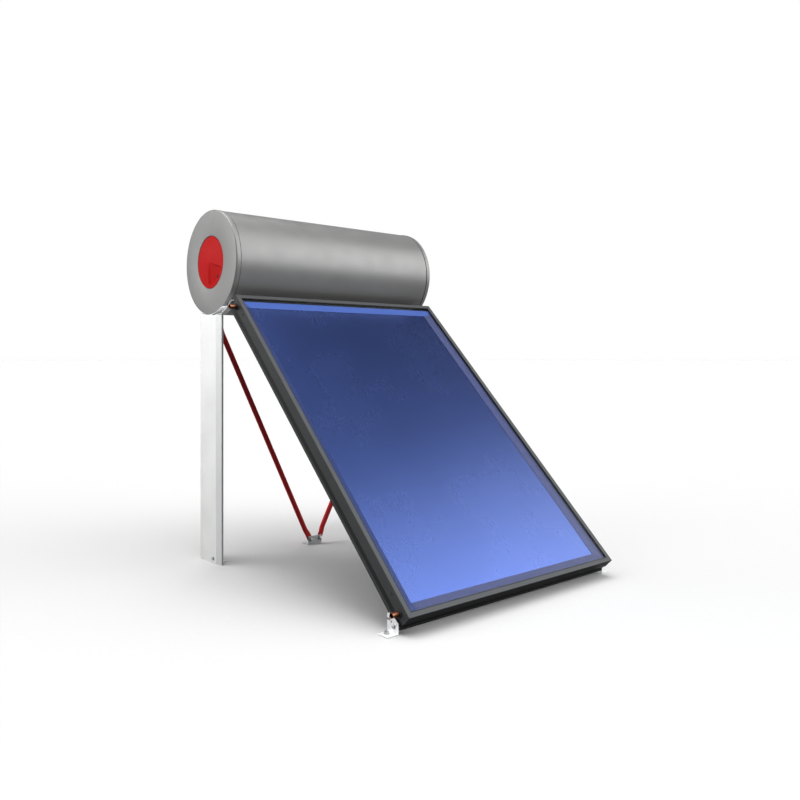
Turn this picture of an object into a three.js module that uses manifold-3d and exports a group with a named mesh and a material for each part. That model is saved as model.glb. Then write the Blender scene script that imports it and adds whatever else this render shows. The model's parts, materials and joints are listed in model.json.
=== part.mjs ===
// Thermosiphon solar water heater: a horizontal storage tank over one flat-plate collector,
// on a folded-steel stand. Millimetres, +Z up. The origin is on the ground under the middle,
// +X runs along the tank and +Y points from the collector's front edge to the tank.
import * as THREE from 'three';
import { ConvexGeometry } from 'three/addons/geometries/ConvexGeometry.js';
import { mergeVertices } from 'three/addons/utils/BufferGeometryUtils.js';
import Module from 'manifold-3d';

const wasm = await Module();
wasm.setup();

// ---- driving dimensions -------------------------------------------------------------------
const GAP = 0.3;                      // clearance between pieces that touch
const STEEL = 2.5;                    // sheet thickness of the stand

const COLLECTOR = { width: 1250, length: 1740, depth: 87, tilt: 45, frontHeight: 75 };
const FRAME = { wall: 2, rim: 20, step: 9, slope: 1.8, edge: 1.2, ledge: 14, backFlange: 25 };
const GROOVE = { top: 52, bottom: 74, depth: 4 };
const GLASS = { front: 4.4, thickness: 3.2, inset: 4 };
const SEAL = { thickness: 1.4, lip: 23.5, heel: 13 };
const ABSORBER = { front: 27, thickness: 0.6, inset: 30 };
const TRIM = { top: 11.5, outer: 4, inner: 18, toe: 64 };
const HEADER = { radius: 11, wall: 1.5, inset: 43, depth: 39, stub: 37, blindGap: 20 };
const GROMMET = { wall: HEADER.radius + GAP + 2, bead: 6, front: 4.5, step: 2.5, lip: 1.5 };
const RISER = { count: 6, radius: 4, depth: 32.2 };
const SLAB = { front: 50.6, back: 83.2, inset: 7 };
const SHEET = { front: 83.6, thickness: 0.9, inset: 3 };

const TANK = {
  y: 1481, z: 1479.4, length: 1256, radius: 260, rimWidth: 25, corner: 7, sheet: 1.5, sides: 32,
};
const JACKET = { radius: 258.2, thickness: 1.3 };
const VESSEL = { radius: 205, wall: 3, left: 84, right: 1212, dome: 62, neck: 88, mouth: 58 };
const MANTLE = { radius: 217, wall: 2.5, start: 190, end: 1110 };
const POCKET = { radius: 122, depth: 62 };
const FLANGE = { radius: 86, thickness: 8, gasket: 3, boltCircle: 74, bolts: 4 };
const HEATER = { radius: 4.2, halfGap: 20, end: 430 };
const ANODE = { radius: 11, length: 420, drop: 38 };
const COVER = {
  radius: 130.2, seat: 119, seatDepth: 4.3, spigot: 6, edge: 4, crown: 8, rimFace: 1.2, wall: 2.5,
};
const SCOOP = { from: 196, to: 268, reach: 112, depth: 8, margin: 1.4 };
const GLAND = { y: -69.5, z: -73.5, shank: 5, collar: 8, seat: 6, length: 5, end: 24 };
const THERMOSTAT = { front: 26, halfWidth: 36, bottom: -22, top: 38, knobZ: 14, buttonZ: -11 };
const WELL = { shaft: 10, button: 7 };
const KNOB = { front: 13, radius: 18, chamfer: 3, shaft: 5.5, end: 35, pointer: 1.6 };
const BUTTON = { front: 18, end: 29, radius: 5, cap: 7, capLength: 4 };
const PORT = { outer: 17, bore: 12, circle: 150, reach: 32 };

const LEG = { outer: 640, front: 1357, rear: 1559, fold: 1400, foldIn: 8, lip: 10, flange: 45 };
const SADDLE = { width: 60, rearAngle: 18, frontAngle: 28.5, wingY: 1303, wingDrop: 4, footZ: 1150 };
const SADDLE_WEB = { inset: 28, tongue: 36 };
const EAR = { width: 48, bottom: 1152, top: 1212, thick: 4 };
const CLIP = { width: 44, reach: 44, tip: 38, start: 4, bend: 4 };
const BRACE = { radius: 13, y: 1446, tabWidth: 26, tabLength: 42, tabThick: 5, topX: 609, topZ: 1186 };
const TAB = { overlap: 8, overrun: 12 };
const BRACE_FOOT = {
  x: -31, y: 1429, width: 86, height: 46, flange: 62, thick: 4, holeSpan: 58, holeZ: 29, anchor: 37,
};
const FRONT_FOOT = {
  front: 57, rear: 119, high: 67, crest: 101, low: 41, thick: 4, flange: 51,
  bolts: [[107, 53], [80, 26]], spare: [95, 40], spareRadius: 4, anchorY: 90, anchor: 26.5,
};
const LEG_FOOT = {
  front: 1403, rear: 1459, boltY: 1425, boltZ: 24, height: 58, flange: 58, thick: 4, anchor: 35,
};
const BOLT = { head: 8.5, headHeight: 6.5, washer: 11, washerHeight: 2, shank: 5, hole: 5.8 };

const HALF_WIDTH = COLLECTOR.width / 2;
const TILT = THREE.MathUtils.degToRad(COLLECTOR.tilt);
const DEPTH_Y = TANK.y + TANK.radius;  // from the collector's front edge to the back of the tank

// ---- materials ----------------------------------------------------------------------------
const FINISHES = {
  tankPaint: { color: 0x8c8c8a, roughness: 0.45, metalness: 0.3 },
  redPlastic: { color: 0xbe3336, roughness: 0.35, metalness: 0 },
  blackPlastic: { color: 0x1c1c1d, roughness: 0.5, metalness: 0 },
  whitePlastic: { color: 0xe8e6df, roughness: 0.45, metalness: 0 },
  foam: { color: 0xd9c98c, roughness: 0.95, metalness: 0 },
  enamel: { color: 0x2f4156, roughness: 0.4, metalness: 0.2 },
  steel: { color: 0xb9bcbf, roughness: 0.4, metalness: 0.9 },
  magnesium: { color: 0xa9adb0, roughness: 0.6, metalness: 0.7 },
  brass: { color: 0xc39a4c, roughness: 0.35, metalness: 0.9 },
  copper: { color: 0xc87a4f, roughness: 0.3, metalness: 1 },
  galvanised: { color: 0xe3e5e8, roughness: 0.5, metalness: 0.5 },
  redSteel: { color: 0x7c2226, roughness: 0.45, metalness: 0.1 },
  frameBlack: { color: 0x4a4c4b, roughness: 0.5, metalness: 0.6 },
  rubber: { color: 0x151515, roughness: 0.85, metalness: 0 },
  glass: { color: 0xcfe0ea, roughness: 0.05, metalness: 0, transparent: true, opacity: 0.3 },
  absorber: { color: 0x2c4392, roughness: 0.35, metalness: 0.6 },
  foil: { color: 0x7d82a0, roughness: 0.35, metalness: 0.7 },
  wool: { color: 0xcdbf7d, roughness: 1, metalness: 0 },
  backSheet: { color: 0xb5b8bb, roughness: 0.45, metalness: 0.8 },
};

function finish(name) {
  return new THREE.MeshStandardMaterial(FINISHES[name]);
}

// ---- shared geometry helpers --------------------------------------------------------------
function toSolid(geometry) {
  const bare = geometry.clone();
  bare.deleteAttribute('normal');
  bare.deleteAttribute('uv');
  const merged = mergeVertices(bare, 1e-3);
  return new wasm.Manifold(new wasm.Mesh({
    numProp: 3,
    vertProperties: new Float32Array(merged.attributes.position.array),
    triVerts: new Uint32Array(merged.index.array),
  }));
}

function toGeometry(solid) {
  const mesh = solid.getMesh();
  const geometry = new THREE.BufferGeometry();
  geometry.setAttribute('position', new THREE.BufferAttribute(mesh.vertProperties, 3));
  geometry.setIndex(new THREE.BufferAttribute(mesh.triVerts, 1));
  const faceted = geometry.toNonIndexed();
  faceted.computeVertexNormals();
  return faceted;
}

function join(first, ...others) {
  return toGeometry(others.reduce((solid, other) => solid.add(toSolid(other)), toSolid(first)));
}

function cut(body, ...tools) {
  return toGeometry(tools.reduce((solid, tool) => solid.subtract(toSolid(tool)), toSolid(body)));
}

function shapeOf(points) {
  return new THREE.Shape(points.map(([x, y]) => new THREE.Vector2(x, y)));
}

function prism(shape, depth) {
  return new THREE.ExtrudeGeometry(shape, { depth, bevelEnabled: false, steps: 1, curveSegments: 6 });
}

// A (y, z) outline pulled along +X from x = start.
function alongX(points, start, width) {
  const bar = prism(shapeOf(points), width);
  return bar.rotateY(Math.PI / 2).rotateX(Math.PI / 2).translate(start, 0, 0);
}

// An (x, y) outline pulled up from z = base.
function alongZ(points, base, height) {
  return prism(shapeOf(points), height).translate(0, 0, base);
}

function block(x0, x1, y0, y1, z0, z1) {
  return new THREE.BoxGeometry(x1 - x0, y1 - y0, z1 - z0)
    .translate((x0 + x1) / 2, (y0 + y1) / 2, (z0 + z1) / 2);
}

// The outline in the turning direction whose faces point out of the body.
function counterClockwise(points) {
  const outline = points.map(([x, y]) => new THREE.Vector2(x, y));
  return THREE.ShapeUtils.area(outline) < 0 ? outline.reverse() : outline;
}

// A body of revolution about +X from (radius, x) points.
function turnedX(points, sides) {
  return new THREE.LatheGeometry(counterClockwise(points), sides).rotateZ(-Math.PI / 2);
}

function rodX(radius, start, length, sides = 12) {
  return new THREE.CylinderGeometry(radius, radius, length, sides)
    .rotateZ(-Math.PI / 2).translate(start + length / 2, 0, 0);
}

function rodY(radius, start, length, sides = 12) {
  return new THREE.CylinderGeometry(radius, radius, length, sides).translate(0, start + length / 2, 0);
}

function rodZ(radius, start, length, sides = 12) {
  return new THREE.CylinderGeometry(radius, radius, length, sides)
    .rotateX(Math.PI / 2).translate(0, 0, start + length / 2);
}

function arcPoints(centreX, centreY, radius, fromDegrees, toDegrees, steps) {
  const points = [];
  for (let i = 0; i <= steps; i += 1) {
    const angle = THREE.MathUtils.degToRad(fromDegrees + (toDegrees - fromDegrees) * i / steps);
    points.push([centreX + radius * Math.cos(angle), centreY + radius * Math.sin(angle)]);
  }
  return points;
}

// A folded sheet: an open centre line given a thickness on its left side.
function foldedStrip(line, thickness) {
  const points = line.map(([x, y]) => new THREE.Vector2(x, y));
  const offset = points.map((point, i) => {
    const before = i > 0 ? point.clone().sub(points[i - 1]).normalize() : null;
    const after = i < points.length - 1 ? points[i + 1].clone().sub(point).normalize() : null;
    const first = before ?? after;
    const second = after ?? before;
    const normal = new THREE.Vector2(-first.y - second.y, first.x + second.x).normalize();
    const spread = normal.dot(new THREE.Vector2(-first.y, first.x));
    return point.clone().addScaledVector(normal, thickness / spread);
  });
  return [...line, ...offset.reverse().map((point) => [point.x, point.y])];
}

// A six-sided bolt head with its washer and a plain shank, along +Z from the washer's face.
function boltGeometry(shankLength) {
  const { head, headHeight, washer, washerHeight, shank } = BOLT;
  const plainShank = rodZ(shank, -shankLength, shankLength + washerHeight, 8);
  const disc = rodZ(washer, 0, washerHeight);
  const hexagon = rodZ(head, washerHeight / 2, headHeight + washerHeight / 2, 6);
  return join(disc, hexagon, plainShank);
}

function addNode(group, name, geometry, finishName) {
  const mesh = new THREE.Mesh(geometry, finish(finishName));
  mesh.name = name;
  group.add(mesh);
  return mesh;
}

// ---- collector: x across, y up the slope, z out of the glass, from its front bottom edge -----
// A bar along +Y with 45-degree mitred ends, from (inward, depth) points of its section.
function mitredBar(section, length) {
  const bar = prism(shapeOf(section), length);
  const position = bar.attributes.position;
  for (let i = 0; i < position.count; i += 1) {
    const inward = position.getX(i) + GAP / 2;
    const end = position.getZ(i) < length / 2 ? inward : length - inward;
    position.setZ(i, end);
  }
  return bar.rotateX(-Math.PI / 2);
}

// A closed rectangular ring of one section, from (inward, depth) points.
function mitredRing(section, width, length) {
  const corners = [[0, 0, 1, 1], [width, 0, -1, 1], [width, length, -1, -1], [0, length, 1, -1]];
  const vertices = [];
  const outline = counterClockwise(section);
  for (const [x, y, inX, inY] of corners) {
    for (const point of outline) {
      vertices.push(x + inX * point.x, y + inY * point.x, -point.y);
    }
  }
  const count = section.length;
  const triangles = [];
  for (let side = 0; side < corners.length; side += 1) {
    const next = (side + 1) % corners.length;
    for (let i = 0; i < count; i += 1) {
      const j = (i + 1) % count;
      const [a, b] = [side * count + i, side * count + j];
      const [c, d] = [next * count + i, next * count + j];
      triangles.push(a, d, b, a, c, d);
    }
  }
  const ring = new THREE.BufferGeometry();
  ring.setAttribute('position', new THREE.Float32BufferAttribute(vertices, 3));
  ring.setIndex(triangles);
  const faceted = ring.toNonIndexed();
  faceted.computeVertexNormals();
  return faceted;
}

// The rim is flat outside and slopes towards the glass inside; a groove runs along the wall.
function frameSection() {
  const { wall, rim, step, slope, edge, ledge, backFlange } = FRAME;
  const { top, bottom, depth } = GROOVE;
  const back = COLLECTOR.depth;
  const ledgeTop = GLASS.front + GLASS.thickness + SEAL.thickness + GAP;
  const under = slope + 1;
  return [
    [edge, 0], [step, 0], [rim, slope], [rim, under], [wall, under], [wall, ledgeTop], [ledge, ledgeTop],
    [ledge, ledgeTop + wall], [wall, ledgeTop + wall], [wall, top - depth / 2],
    [wall + depth, top], [wall + depth, bottom], [wall, bottom + depth / 2],
    [wall, back - wall], [backFlange, back - wall], [backFlange, back], [0, back],
    [0, bottom + depth / 2], [depth, bottom - depth / 2], [depth, top + depth / 2],
    [0, top - depth / 2], [0, edge],
  ];
}

// A channel of rubber wrapped round the edge of the glass.
function sealSection() {
  const { thickness, lip, heel } = SEAL;
  const outer = FRAME.wall + GAP;
  const front = GLASS.front - thickness;
  const back = GLASS.front + GLASS.thickness + thickness;
  const channel = outer + thickness - GAP;
  return [
    [outer, front], [lip, front], [lip, GLASS.front - GAP], [channel, GLASS.front - GAP],
    [channel, back - thickness + GAP], [heel, back - thickness + GAP], [heel, back], [outer, back],
  ];
}

function trimSection() {
  const { top, outer, inner, toe } = TRIM;
  const seat = ABSORBER.front - GAP;
  return [[outer, top], [inner, top], [toe, seat - 1], [toe, seat], [outer, seat]];
}

function headerTube() {
  const { radius, wall, stub, blindGap } = HEADER;
  const end = COLLECTOR.width - blindGap;
  return turnedX([
    [0, end], [radius, end], [radius, -stub], [radius - wall, -stub],
    [radius - wall, end - wall], [0, end - wall],
  ], 12);
}

// A rubber collar round a header where it leaves the frame, with a bead on the outside.
function grommetGeometry() {
  const { wall, bead, front, step, lip } = GROMMET;
  const hole = HEADER.radius + GAP;
  const back = FRAME.wall + lip;
  return turnedX([
    [hole, -front], [hole + bead / 2, -front], [hole + bead, -step], [hole + bead, -GAP], [wall, -GAP],
    [wall, back], [hole, back], [hole, -front],
  ], 12);
}

function buildCollector() {
  const { width, length, frontHeight } = COLLECTOR;
  const collector = new THREE.Group();
  collector.rotation.x = TILT;
  collector.position.set(-HALF_WIDTH, 0, frontHeight);

  const headerRows = { bottom: HEADER.inset, top: length - HEADER.inset };
  const portHoles = Object.values(headerRows).map(
    (row) => rodX(GROMMET.wall + GAP, -1, FRAME.wall + GROOVE.depth + 2).translate(0, row, -HEADER.depth));
  const section = frameSection();
  addNode(collector, 'frame_left', cut(mitredBar(section, length), ...portHoles), 'frameBlack');
  const right = addNode(collector, 'frame_right', mitredBar(section, length), 'frameBlack');
  right.rotation.z = Math.PI;
  right.position.set(width, length, 0);
  const bottom = addNode(collector, 'frame_bottom', mitredBar(section, width), 'frameBlack');
  bottom.rotation.z = Math.PI / 2;
  bottom.position.set(width, 0, 0);
  const top = addNode(collector, 'frame_top', mitredBar(section, width), 'frameBlack');
  top.rotation.z = -Math.PI / 2;
  top.position.set(0, length, 0);

  const panel = (inset, front, thickness) => block(
    inset, width - inset, inset, length - inset, -front - thickness, -front);
  addNode(collector, 'glass_cover', panel(GLASS.inset, GLASS.front, GLASS.thickness), 'glass');
  addNode(collector, 'glass_seal', mitredRing(sealSection(), width, length), 'rubber');
  addNode(collector, 'edge_trim', mitredRing(trimSection(), width, length), 'foil');
  addNode(collector, 'absorber_plate',
    panel(ABSORBER.inset, ABSORBER.front, ABSORBER.thickness), 'absorber');
  addNode(collector, 'wool_insulation', panel(SLAB.inset, SLAB.front, SLAB.back - SLAB.front), 'wool');
  addNode(collector, 'back_sheet', panel(SHEET.inset, SHEET.front, SHEET.thickness), 'backSheet');

  for (const [name, row] of Object.entries(headerRows)) {
    const header = addNode(collector, `header_${name}`, headerTube(), 'copper');
    const grommet = addNode(collector, `grommet_${name}`, grommetGeometry(), 'rubber');
    header.position.set(0, row, -HEADER.depth);
    grommet.position.set(0, row, -HEADER.depth);
  }

  const riserStart = headerRows.bottom + HEADER.radius + GAP;
  const riserLength = headerRows.top - HEADER.radius - GAP - riserStart;
  const pitch = (width - 2 * ABSORBER.inset) / RISER.count;
  for (let i = 0; i < RISER.count; i += 1) {
    const tube = rodY(RISER.radius, riserStart, riserLength, 8);
    const riser = addNode(collector, `riser_${i + 1}`, tube, 'copper');
    riser.position.set(ABSORBER.inset + pitch * (i + 0.5), 0, -RISER.depth);
  }
  return collector;
}

// ---- tank: x from the left end cap's face, turned about the tank's axis ------------------------
function endCapProfile() {
  const { radius, corner, sheet, rimWidth } = TANK;
  const outerArc = arcPoints(radius - corner, corner, corner, 0, -90, 3);
  const innerArc = arcPoints(radius - corner, corner, corner - sheet, -90, 0, 1);
  return { outer: [[radius, rimWidth], ...outerArc], inner: [...innerArc, [radius - sheet, rimWidth]] };
}

// The left cap has a stepped opening that the service cover drops into.
function leftCap() {
  const { outer, inner } = endCapProfile();
  const { sheet } = TANK;
  const well = COVER.radius + GAP * 2;
  const floor = COVER.seatDepth;
  return turnedX([
    ...outer, [well + sheet, 0], [well, sheet], [well, floor], [COVER.seat, floor],
    [COVER.seat, floor + sheet], [well + sheet, floor + sheet], [well + sheet, sheet],
    ...inner, [TANK.radius, TANK.rimWidth],
  ], TANK.sides);
}

function portPlaces() {
  return [
    { name: 'cold_inlet', angle: 235 }, { name: 'hot_outlet', angle: 55 },
    { name: 'circuit_return', angle: 305 }, { name: 'circuit_flow', angle: 125 },
  ].map(({ name, angle }) => {
    const turn = THREE.MathUtils.degToRad(angle);
    return { name, y: PORT.circle * Math.cos(turn), z: PORT.circle * Math.sin(turn) };
  });
}

function portTools(radius, start) {
  return portPlaces().map(({ y, z }) => rodX(radius, start, TANK.length, 12).translate(0, y, z));
}

function rightCap() {
  const { outer, inner } = endCapProfile();
  const cap = turnedX([
    ...outer, [0, 0], [0, TANK.sheet], ...inner, [TANK.radius, TANK.rimWidth],
  ], TANK.sides).rotateZ(Math.PI).translate(TANK.length, 0, 0);
  return cut(cap, ...portTools(PORT.outer + GAP, TANK.length / 2));
}

function jacket() {
  const { radius, thickness } = JACKET;
  const [start, end] = [TANK.corner + GAP, TANK.length - TANK.corner - GAP];
  const inner = radius - thickness;
  return turnedX([[radius, start], [inner, start], [inner, end], [radius, end], [radius, start]], TANK.sides);
}

// Half an elliptic dome, as (radius, x) points from the cylinder to the given inner radius.
function domePoints(radius, edge, apex, innerRadius, steps) {
  const stop = Math.acos(innerRadius / radius);
  const points = [];
  for (let i = 0; i <= steps; i += 1) {
    const angle = stop * i / steps;
    points.push([radius * Math.cos(angle), edge + (apex - edge) * Math.sin(angle)]);
  }
  return points;
}

function vesselProfile(inset, mouth) {
  const { radius, left, right, dome } = VESSEL;
  const [leftEdge, rightEdge] = [left + dome, right - dome];
  const leftDome = domePoints(radius - inset, leftEdge, left + inset, mouth, 5);
  const rightDome = domePoints(radius - inset, rightEdge, right - inset, 0, 6);
  return [...leftDome.reverse(), ...rightDome];
}

function innerTank() {
  const outside = vesselProfile(0, VESSEL.neck);
  const inside = vesselProfile(VESSEL.wall, VESSEL.mouth);
  const seat = POCKET.depth + FLANGE.thickness + FLANGE.gasket + 2 * GAP;
  const shell = turnedX([
    [VESSEL.mouth, seat], [VESSEL.neck, seat], ...outside, ...inside.reverse(), [VESSEL.mouth, seat],
  ], TANK.sides);
  return cut(shell, ...portTools(PORT.outer + GAP, TANK.length / 2));
}

function foam() {
  const outer = JACKET.radius - JACKET.thickness - GAP;
  const [start, end] = [COVER.seatDepth + TANK.sheet + GAP, TANK.length - TANK.sheet - GAP];
  const shoulder = TANK.radius - TANK.corner - GAP;
  const { radius, start: mantleStart, end: mantleEnd } = MANTLE;
  const outside = vesselProfile(-GAP, VESSEL.neck + GAP);
  const split = outside.findIndex(([, x]) => x > TANK.length / 2);
  const mantle = [
    [VESSEL.radius + GAP, mantleStart - GAP], [radius + GAP, mantleStart - GAP],
    [radius + GAP, mantleEnd + GAP], [VESSEL.radius + GAP, mantleEnd + GAP],
  ];
  const pocketFloor = POCKET.depth + FLANGE.thickness + 2;
  const body = turnedX([
    [outer, start], [POCKET.radius, start], [POCKET.radius, pocketFloor], [VESSEL.neck + GAP, pocketFloor],
    ...outside.slice(0, split), ...mantle, ...outside.slice(split), [0, end], [shoulder, end],
    [outer, TANK.length - TANK.corner - GAP], [outer, start],
  ], TANK.sides);
  return cut(body, ...portTools(PORT.outer + GAP, TANK.length / 2));
}

function mantleShell() {
  const { radius, wall, start, end } = MANTLE;
  const seat = VESSEL.radius + GAP;
  return turnedX([
    [radius, start], [seat, start], [seat, start + wall], [radius - wall, start + wall],
    [radius - wall, end - wall], [seat, end - wall], [seat, end], [radius, end], [radius, start],
  ], TANK.sides);
}

function flangeBoltPlaces() {
  return Array.from({ length: FLANGE.bolts }, (_, i) => {
    const angle = THREE.MathUtils.degToRad(45 + i * 360 / FLANGE.bolts);
    return { y: FLANGE.boltCircle * Math.cos(angle), z: FLANGE.boltCircle * Math.sin(angle) };
  });
}

function flangeBoltHoles() {
  return flangeBoltPlaces().map(({ y, z }) => rodX(BOLT.hole, 0, TANK.length / 4, 8).translate(0, y, z));
}

function heaterLoop() {
  const { radius, halfGap, end } = HEATER;
  const start = POCKET.depth + FLANGE.thickness + GAP;
  const bend = end + halfGap * 4 / 3;
  const at = (x, z) => new THREE.Vector3(x, 0, z);
  const path = new THREE.CurvePath();
  path.add(new THREE.LineCurve3(at(start, -halfGap), at(end, -halfGap)));
  path.add(new THREE.CubicBezierCurve3(
    at(end, -halfGap), at(bend, -halfGap), at(bend, halfGap), at(end, halfGap)));
  path.add(new THREE.LineCurve3(at(end, halfGap), at(start, halfGap)));
  const section = shapeOf(arcPoints(0, 0, radius, 0, 300, 5));
  return new THREE.ExtrudeGeometry(section, { steps: 30, extrudePath: path, bevelEnabled: false });
}

// A sector of a disc from the axis to a radius, as deep as its two faces at the axis and the rim.
function sectorSolid(reach, from, to, axisFaces, rimFaces) {
  const axis = axisFaces.map((x) => new THREE.Vector3(x, 0, 0));
  const rim = rimFaces.flatMap((x) => arcPoints(0, 0, reach, from, to, 5)
    .map(([y, z]) => new THREE.Vector3(x, y, z)));
  return new ConvexGeometry([...axis, ...rim]);
}

// A shallow cone with a turned-back rim and a spigot that snaps into the cap's opening. A moulded
// scoop sinks from its middle towards the rim, with the cable gland in the scoop's floor.
function coverGeometry() {
  const { radius, seat, seatDepth, spigot, crown, rimFace, edge, wall } = COVER;
  const outer = seat - GAP;
  const inner = outer - wall;
  const dish = turnedX([
    [0, rimFace - crown], [radius - edge, rimFace], [radius, rimFace + 1], [radius, seatDepth - GAP],
    [outer, seatDepth - GAP], [outer, seatDepth + spigot], [inner, seatDepth + spigot],
    [inner, rimFace + wall], [0, rimFace - crown + wall],
  ], TANK.sides);
  const { from, to, reach, depth, margin } = SCOOP;
  const middle = rimFace - crown;
  const front = middle + crown * reach / (radius - edge);
  const back = front + depth + wall;
  const shell = sectorSolid(reach + wall, from - margin, to + margin,
    [middle + wall / 4, middle + wall / 2], [front + wall / 2, back]);
  const hollow = sectorSolid(reach, from, to, [middle - wall, middle - GAP], [middle - wall, front + depth]);
  const glandHole = rodX(GLAND.shank + GAP, -20, 60).translate(0, GLAND.y, GLAND.z);
  return cut(join(dish, shell), hollow, glandHole);
}

// A cable gland through the scoop's floor, closed by a blanking plug until a cable is fitted.
function glandGeometry() {
  const { shank, collar, seat, length, end } = GLAND;
  const front = seat - length;
  return turnedX([
    [0, front], [collar - 2, front], [collar, front + 2], [collar, seat - GAP], [shank, seat - GAP],
    [shank, end], [0, end],
  ], 12);
}

function thermostatBody() {
  const { front, halfWidth, bottom, top, knobZ, buttonZ } = THERMOSTAT;
  const housing = block(front, POCKET.depth - GAP, -halfWidth, halfWidth, bottom, top);
  const shaftWell = rodX(KNOB.shaft + GAP, front - 1, WELL.shaft + 1).translate(0, 0, knobZ);
  const buttonWell = rodX(BUTTON.radius + GAP, front - 1, WELL.button + 1).translate(0, 0, buttonZ);
  return cut(housing, shaftWell, buttonWell);
}

function knobGeometry() {
  const { front, radius, chamfer, shaft, end, pointer } = KNOB;
  const back = THERMOSTAT.front - GAP;
  const dial = turnedX([
    [0, front], [radius - chamfer, front], [radius - 1, front + 2], [radius, back], [0, back],
  ], 16);
  const stem = rodX(shaft, back - 1, end - back + 1);
  const ridge = block(front - pointer, front + 3, -pointer, pointer, -2, radius - 2);
  return join(dial, stem, ridge);
}

function resetButton() {
  const { front, end, radius, cap, capLength } = BUTTON;
  return join(rodX(radius, front, end - front), rodX(cap, front, capLength));
}

function buildTank() {
  const tank = new THREE.Group();
  tank.position.set(-TANK.length / 2, TANK.y, TANK.z);
  addNode(tank, 'tank_jacket', jacket(), 'tankPaint');
  addNode(tank, 'end_cap_left', leftCap(), 'tankPaint');
  addNode(tank, 'end_cap_right', rightCap(), 'tankPaint');
  addNode(tank, 'tank_insulation', foam(), 'foam');
  addNode(tank, 'inner_tank', innerTank(), 'enamel');
  addNode(tank, 'mantle_shell', mantleShell(), 'steel');

  const plate = rodX(FLANGE.radius, POCKET.depth, FLANGE.thickness, 32);
  addNode(tank, 'flange_plate', cut(plate, ...flangeBoltHoles()), 'steel');
  const gasketStart = POCKET.depth + FLANGE.thickness + GAP;
  const disc = rodX(FLANGE.radius, gasketStart, FLANGE.gasket, 32);
  const ring = cut(disc, rodX(VESSEL.mouth, 0, TANK.length / 4, 24), ...flangeBoltHoles());
  addNode(tank, 'flange_gasket', ring, 'rubber');
  flangeBoltPlaces().forEach(({ y, z }, i) => {
    const bolt = addNode(tank, `flange_bolt_${i + 1}`, boltGeometry(FLANGE.thickness + 2), 'steel');
    bolt.rotation.y = -Math.PI / 2;
    bolt.position.set(POCKET.depth - GAP, y, z);
  });
  addNode(tank, 'heating_element', heaterLoop(), 'copper');
  const anode = addNode(tank, 'anode_rod', rodX(ANODE.radius, gasketStart, ANODE.length), 'magnesium');
  anode.position.set(0, -ANODE.drop, 0);

  addNode(tank, 'thermostat_body', thermostatBody(), 'blackPlastic');
  const knob = addNode(tank, 'thermostat_knob', knobGeometry(), 'whitePlastic');
  knob.position.set(0, 0, THERMOSTAT.knobZ);
  const button = addNode(tank, 'reset_button', resetButton(), 'redPlastic');
  button.position.set(0, 0, THERMOSTAT.buttonZ);
  addNode(tank, 'service_cover', coverGeometry(), 'redPlastic');
  addNode(tank, 'cable_gland', glandGeometry(), 'blackPlastic').position.set(0, GLAND.y, GLAND.z);

  const portStart = VESSEL.right - VESSEL.dome;
  const portEnd = TANK.length + PORT.reach;
  for (const { name, y, z } of portPlaces()) {
    const { outer, bore } = PORT;
    const port = turnedX([
      [outer, portStart], [bore, portStart], [bore, portEnd], [outer, portEnd], [outer, portStart],
    ], 12);
    addNode(tank, name, port, 'brass').position.set(0, y, z);
  }
  return tank;
}

// ---- stand: x from the middle, y from the collector's front edge --------------------------------
// Pieces are drawn for the left side; side is -1 on the left and 1 on the right.
function mirrored(geometry, side) {
  return side < 0 ? geometry : toGeometry(toSolid(geometry).mirror([1, 0, 0]));
}

function legGeometry() {
  const { outer, front, rear, fold, foldIn, lip, flange } = LEG;
  const line = [
    [-outer + flange, rear], [-outer, rear], [-outer, fold], [-outer + foldIn, front],
    [-outer + foldIn + lip, front],
  ];
  const top = TANK.z - TANK.radius - STEEL - 4 * GAP;
  const leg = alongZ(foldedStrip(line, STEEL), 0, top);
  const bolt = rodX(BOLT.hole, -outer - 5, 20, 8).translate(0, LEG_FOOT.boltY, LEG_FOOT.boltZ);
  return cut(leg, bolt);
}

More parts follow.
